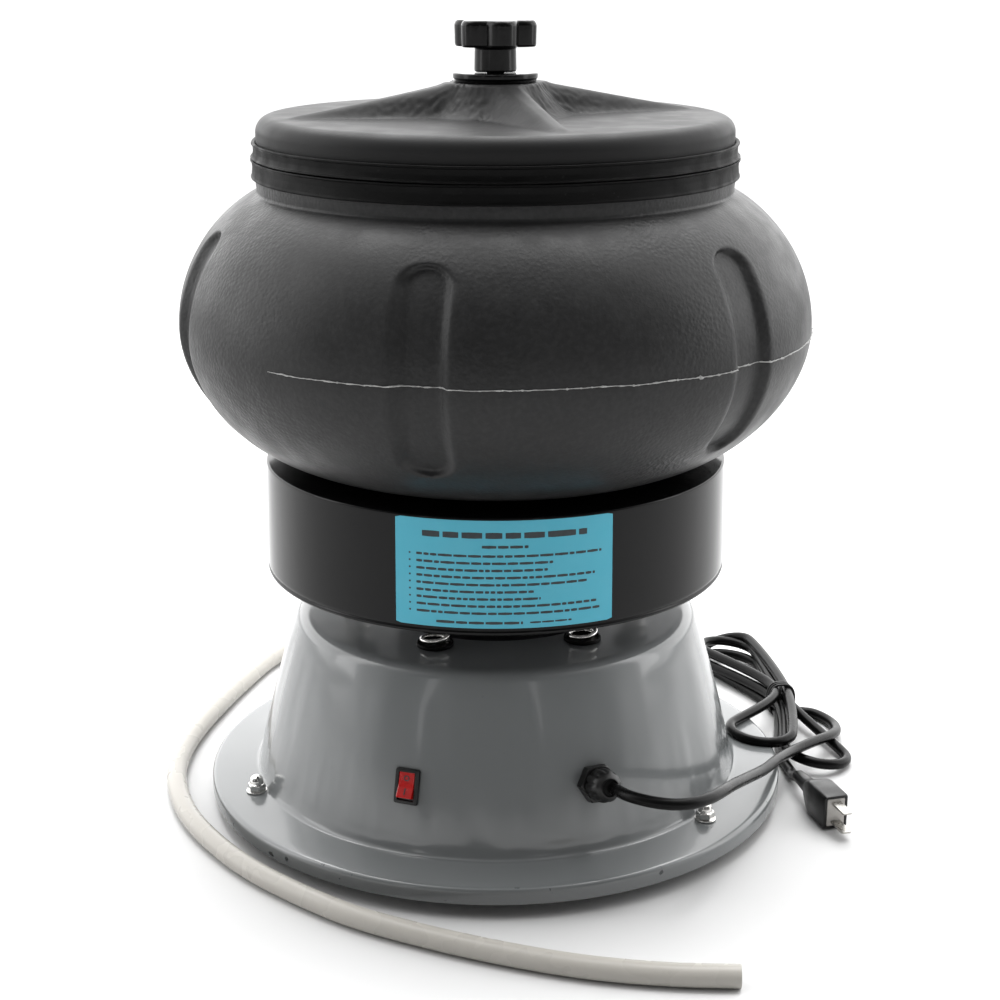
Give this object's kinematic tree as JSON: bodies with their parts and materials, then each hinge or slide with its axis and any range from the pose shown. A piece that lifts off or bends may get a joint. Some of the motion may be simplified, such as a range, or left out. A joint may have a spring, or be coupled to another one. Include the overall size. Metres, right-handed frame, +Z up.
{
  "type": "vibratory rock tumbler",
  "caption": "Vibratory rock tumbler: lidded ring bowl clamped on a sprung motor drum over a flanged conical base, with cord and drain hose.",
  "frame": {"origin": "on the floor, on the machine's vertical axis, at the centre of its footprint", "axes": "+Z up along the machine's axis, -Y towards the front with the label and the switch, +X to the viewer's right"},
  "size_m": [0.4569, 0.5722, 0.4856],
  "materials": {
    "grey_enamel": "stoved gloss enamel over pressed steel, slightly wavy",
    "plain_steel": "plain rolled sheet and turned bar",
    "black_rubber": "soft moulded rubber, satin",
    "bright_steel": "bright nickel plating",
    "black_plastic": "fine moulded texture, satin",
    "cord_jacket": "smooth extruded cord jacket",
    "red_rocker": "polished translucent red moulding",
    "aluminium": "drawn can",
    "black_gloss_paint": "high-gloss black enamel",
    "label_film": "teal printed film, satin",
    "cast_iron": "machined and painted casting",
    "copper_winding": "varnished copper and laminated steel",
    "bowl_plastic": "leathery moulded polyethylene",
    "milky_plastic": "translucent flexible tube",
    "black_gloss_plastic": "polished moulding",
    "plug_nickel": "nickel-plated blade"
  },
  "bodies": {
    "base": {"base_housing": "grey_enamel", "bottom_plate": "plain_steel", "foot_1": "black_rubber", "foot_2": "black_rubber", "foot_3": "black_rubber", "foot_bolt_1": "bright_steel", "foot_bolt_2": "bright_steel", "foot_bolt_3": "bright_steel", "acorn_nut_1": "bright_steel", "acorn_nut_2": "bright_steel", "acorn_nut_3": "bright_steel", "switch_housing": "black_plastic", "gland_body": "black_plastic", "gland_cap": "black_plastic", "gland_locknut": "black_plastic", "run_capacitor": "aluminium", "spring_1": "bright_steel", "spring_2": "bright_steel", "spring_3": "bright_steel", "spring_4": "bright_steel", "spring_5": "bright_steel", "spring_6": "bright_steel", "spring_cup_1": "black_rubber", "spring_cup_2": "black_rubber", "spring_cup_3": "black_rubber", "spring_cup_4": "black_rubber", "spring_cup_5": "black_rubber", "spring_cup_6": "black_rubber", "cord_lead": "cord_jacket", "cord_hank": "cord_jacket", "cord_plug_lead": "cord_jacket", "plug_body": "black_plastic", "plug_blade_upper": "plug_nickel", "plug_blade_lower": "plug_nickel", "drain_hose": "milky_plastic"},
    "rocker": {"switch_rocker": "red_rocker"},
    "tumbler": {"drum": "black_gloss_paint", "data_label": "label_film", "motor_plate": "plain_steel", "motor_housing": "cast_iron", "motor_end_bell": "cast_iron", "bearing_upper": "bright_steel", "bearing_lower": "bright_steel", "stator": "copper_winding", "bowl": "bowl_plastic", "bowl_rim_seal": "black_rubber", "centre_rod": "bright_steel", "rod_nut": "bright_steel", "bowl_nut": "bright_steel", "drain_spigot": "milky_plastic"},
    "rotor": {"rotor_shaft": "plain_steel", "eccentric_weight_lower": "cast_iron", "eccentric_weight_upper": "cast_iron"},
    "lid": {"lid": "bowl_plastic", "lid_seal": "black_rubber"},
    "clamp": {"clamp_washer": "black_gloss_plastic"},
    "knob": {"knob": "black_gloss_plastic"}
  },
  "joints": [
    {"name": "suspension_bounce", "type": "slide", "parent": "base", "child": "tumbler", "axis": [0, 0, 1], "range_m": [-0.004, 0.004], "stiffness_N_per_m": 25000, "springref_m": 0.0047, "deforming": ["spring_1", "spring_2", "spring_3", "spring_4", "spring_5", "spring_6"]},
    {"name": "rotor_spin", "type": "hinge", "parent": "tumbler", "child": "rotor", "pos_m": [0, 0, 0.1], "axis": [0, 0, 1], "continuous": true},
    {"name": "lid_lift", "type": "slide", "parent": "tumbler", "child": "lid", "axis": [0, 0, 1], "range_m": [0, 0.15]},
    {"name": "knob_rise", "type": "slide", "parent": "lid", "child": "clamp", "axis": [0, 0, 1], "range_m": [0, 0.0061]},
    {"name": "knob_turn", "type": "hinge", "parent": "clamp", "child": "knob", "pos_m": [0, 0, 0.47], "axis": [0, 0, 1], "range_deg": [0, 1440]},
    {"name": "rocker_tilt", "type": "hinge", "parent": "base", "child": "rocker", "pos_m": [-0.05022, -0.13362, 0.05921], "axis": [0.9361, -0.3518, 0], "range_deg": [0, 24]}
  ],
  "couplings": [
    {"joint": "knob_rise", "follows": "knob_turn", "m_per_rad": 0.00023873}
  ]
}
